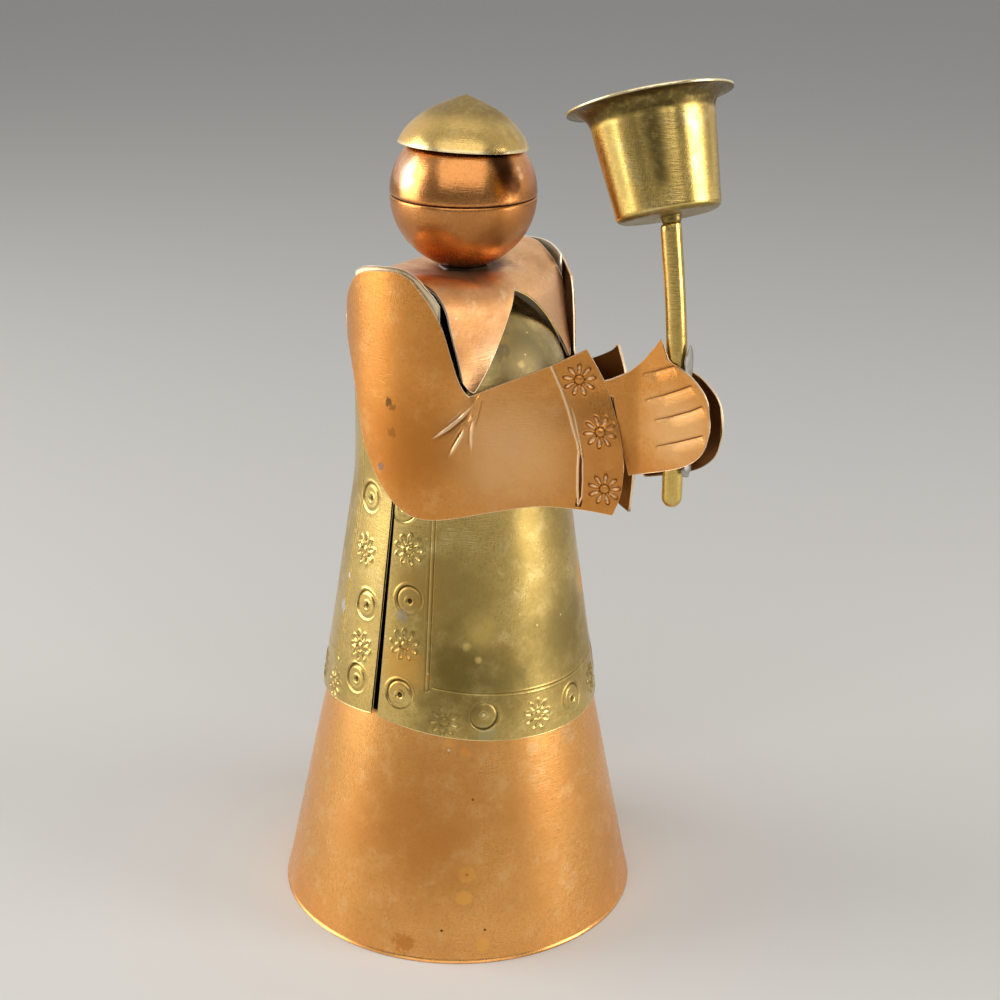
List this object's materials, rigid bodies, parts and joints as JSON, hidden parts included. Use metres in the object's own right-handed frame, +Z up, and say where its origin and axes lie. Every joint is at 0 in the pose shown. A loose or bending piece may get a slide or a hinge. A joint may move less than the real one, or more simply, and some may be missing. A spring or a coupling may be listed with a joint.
{
  "type": "figure candle holder",
  "caption": "Standing angel figure in sheet copper and brass that holds a flared brass candle cup on a staff in front of it.",
  "frame": {"origin": "on the plane that the skirt's rim stands on, under the middle of the holder's width and depth", "axes": "+Z up along the figure, -Y the way the figure looks, -X on the side of its right hand"},
  "size_m": [0.08, 0.1022, 0.1888],
  "materials": {
    "satin_copper": "satin sheet copper, orange-brown, with faint spots",
    "pale_copper": "satin sheet copper, pinkish, with grey spots",
    "polished_copper": "polished copper with a thin lacquer",
    "aged_brass": "satin sheet brass with an olive patina",
    "bright_brass": "bright polished brass",
    "grey_solder": "dull grey soft solder"
  },
  "bodies": {
    "root": {"skirt": "satin_copper", "skirt_seam_solder": "grey_solder", "coat_front": "aged_brass", "coat_back": "aged_brass", "front_hem_solder": "grey_solder", "back_hem_solder": "grey_solder", "right_shoulder_plate": "aged_brass", "left_shoulder_plate": "aged_brass", "collar": "pale_copper", "right_shoulder_solder": "grey_solder", "left_shoulder_solder": "grey_solder", "neck_stud": "bright_brass", "neck_solder": "grey_solder", "head_lower_bowl": "polished_copper", "head_upper_bowl": "polished_copper", "head_seam_solder": "grey_solder", "cap": "aged_brass", "cap_solder": "grey_solder", "right_arm": "satin_copper", "left_arm": "satin_copper", "staff": "bright_brass", "upper_staff_solder": "grey_solder", "lower_staff_solder": "grey_solder", "candle_cup": "bright_brass", "cup_solder": "grey_solder"}
  },
  "joints": []
}
